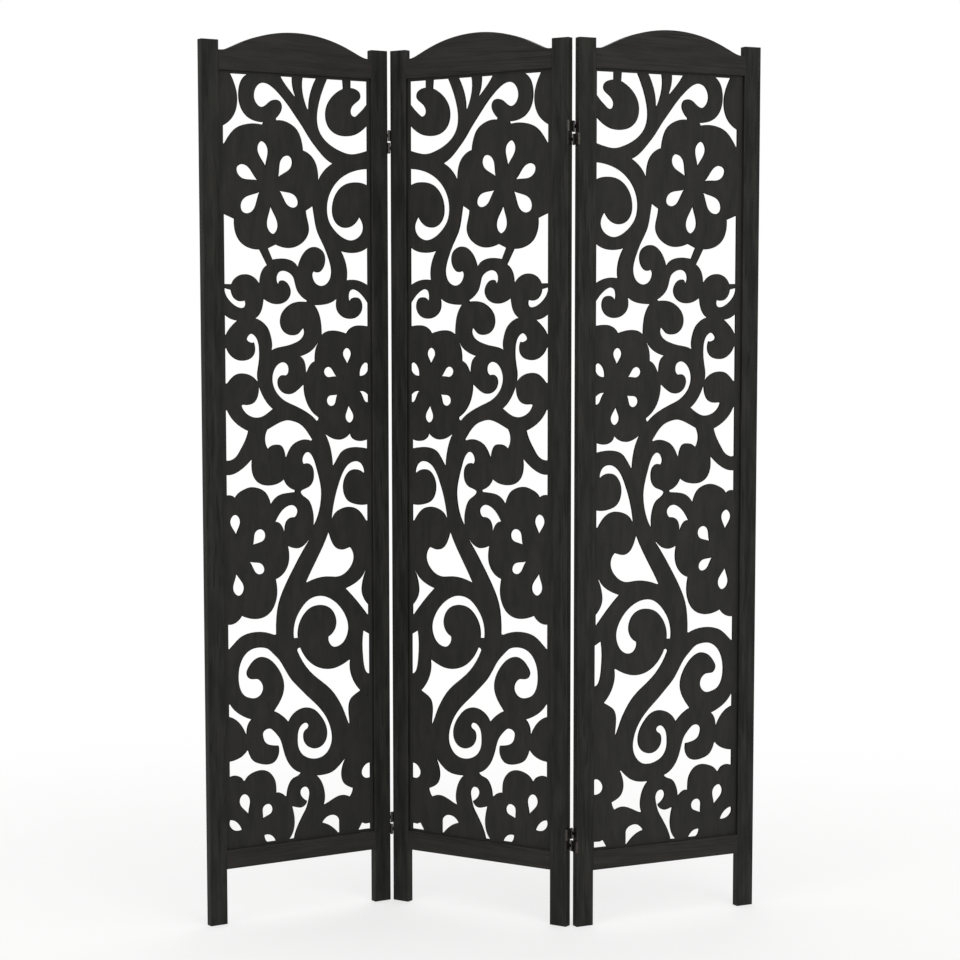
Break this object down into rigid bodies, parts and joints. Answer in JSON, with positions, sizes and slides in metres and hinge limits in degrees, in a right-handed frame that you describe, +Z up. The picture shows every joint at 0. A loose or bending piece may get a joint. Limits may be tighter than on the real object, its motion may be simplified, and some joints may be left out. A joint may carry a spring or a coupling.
{
  "type": "folding screen",
  "caption": "Free-standing folding room screen of hinged wooden panels with arched top rails and pierced floral scroll boards, standing in a zigzag.",
  "frame": {"origin": "on the floor, at the middle of the standing screen's bounding box", "axes": "+Z up along the stiles, +X across the screen to the viewer's right, +Y through it, away from the viewer"},
  "size_m": [1.0676, 0.2448, 1.7],
  "materials": {
    "frame_wood": "black stain, satin",
    "fretwork_board": "black stain, matt",
    "dowel_wood": "plain beech",
    "hinge_steel": "black lacquer",
    "pin_steel": "darkened steel",
    "screw_steel": "black oxide"
  },
  "bodies": {
    "middle_panel": {"middle_panel_left_stile": "frame_wood", "middle_panel_right_stile": "frame_wood", "middle_panel_top_rail": "frame_wood", "middle_panel_bottom_rail": "frame_wood", "middle_panel_fretwork": "fretwork_board", "middle_panel_dowels": "dowel_wood", "middle_panel_hinge_screws": "screw_steel", "left_fold_upper_hinge_right_leaf": "hinge_steel", "left_fold_lower_hinge_right_leaf": "hinge_steel", "right_fold_upper_hinge_left_leaf": "hinge_steel", "right_fold_lower_hinge_left_leaf": "hinge_steel"},
    "left_panel": {"left_panel_left_stile": "frame_wood", "left_panel_right_stile": "frame_wood", "left_panel_top_rail": "frame_wood", "left_panel_bottom_rail": "frame_wood", "left_panel_fretwork": "fretwork_board", "left_panel_dowels": "dowel_wood", "left_panel_hinge_screws": "screw_steel", "left_fold_upper_hinge_left_leaf": "hinge_steel", "left_fold_lower_hinge_left_leaf": "hinge_steel"},
    "right_panel": {"right_panel_left_stile": "frame_wood", "right_panel_right_stile": "frame_wood", "right_panel_top_rail": "frame_wood", "right_panel_bottom_rail": "frame_wood", "right_panel_fretwork": "fretwork_board", "right_panel_dowels": "dowel_wood", "right_panel_hinge_screws": "screw_steel", "right_fold_upper_hinge_right_leaf": "hinge_steel", "right_fold_lower_hinge_right_leaf": "hinge_steel"},
    "left_top_links": {"left_fold_upper_hinge_top_link": "hinge_steel", "left_fold_upper_hinge_top_link_pins": "pin_steel", "left_fold_lower_hinge_top_link": "hinge_steel", "left_fold_lower_hinge_top_link_pins": "pin_steel"},
    "left_bottom_links": {"left_fold_upper_hinge_bottom_link": "hinge_steel", "left_fold_upper_hinge_bottom_link_pins": "pin_steel", "left_fold_lower_hinge_bottom_link": "hinge_steel", "left_fold_lower_hinge_bottom_link_pins": "pin_steel"},
    "right_top_links": {"right_fold_upper_hinge_top_link": "hinge_steel", "right_fold_upper_hinge_top_link_pins": "pin_steel", "right_fold_lower_hinge_top_link": "hinge_steel", "right_fold_lower_hinge_top_link_pins": "pin_steel"},
    "right_bottom_links": {"right_fold_upper_hinge_bottom_link": "hinge_steel", "right_fold_upper_hinge_bottom_link_pins": "pin_steel", "right_fold_lower_hinge_bottom_link": "hinge_steel", "right_fold_lower_hinge_bottom_link_pins": "pin_steel"}
  },
  "joints": [
    {"name": "left_fold", "type": "hinge", "parent": "middle_panel", "child": "left_bottom_links", "pos_m": [-0.18263, 0.10284, 0.83], "axis": [0, 0, 1], "range_deg": [-64.9, 115.1]},
    {"name": "left_fold_reverse", "type": "hinge", "parent": "left_bottom_links", "child": "left_panel", "pos_m": [-0.19311, 0.11988, 0.83], "axis": [0, 0, 1], "range_deg": [-90, 0]},
    {"name": "left_top_link_swing", "type": "hinge", "parent": "middle_panel", "child": "left_top_links", "pos_m": [-0.17165, 0.11956, 0.83], "axis": [0, 0, 1], "range_deg": [-90, 0]},
    {"name": "right_fold", "type": "hinge", "parent": "middle_panel", "child": "right_bottom_links", "pos_m": [0.16551, -0.10192, 0.83], "axis": [0, 0, 1], "range_deg": [-59.4, 120.6]},
    {"name": "right_fold_reverse", "type": "hinge", "parent": "right_bottom_links", "child": "right_panel", "pos_m": [0.17431, -0.11988, 0.83], "axis": [0, 0, 1], "range_deg": [-90, 0]},
    {"name": "right_top_link_swing", "type": "hinge", "parent": "middle_panel", "child": "right_top_links", "pos_m": [0.15453, -0.11863, 0.83], "axis": [0, 0, 1], "range_deg": [-90, 0]}
  ],
  "couplings": [
    {"joint": "left_top_link_swing", "follows": "left_fold_reverse", "ratio": 1},
    {"joint": "right_top_link_swing", "follows": "right_fold_reverse", "ratio": 1}
  ]
}
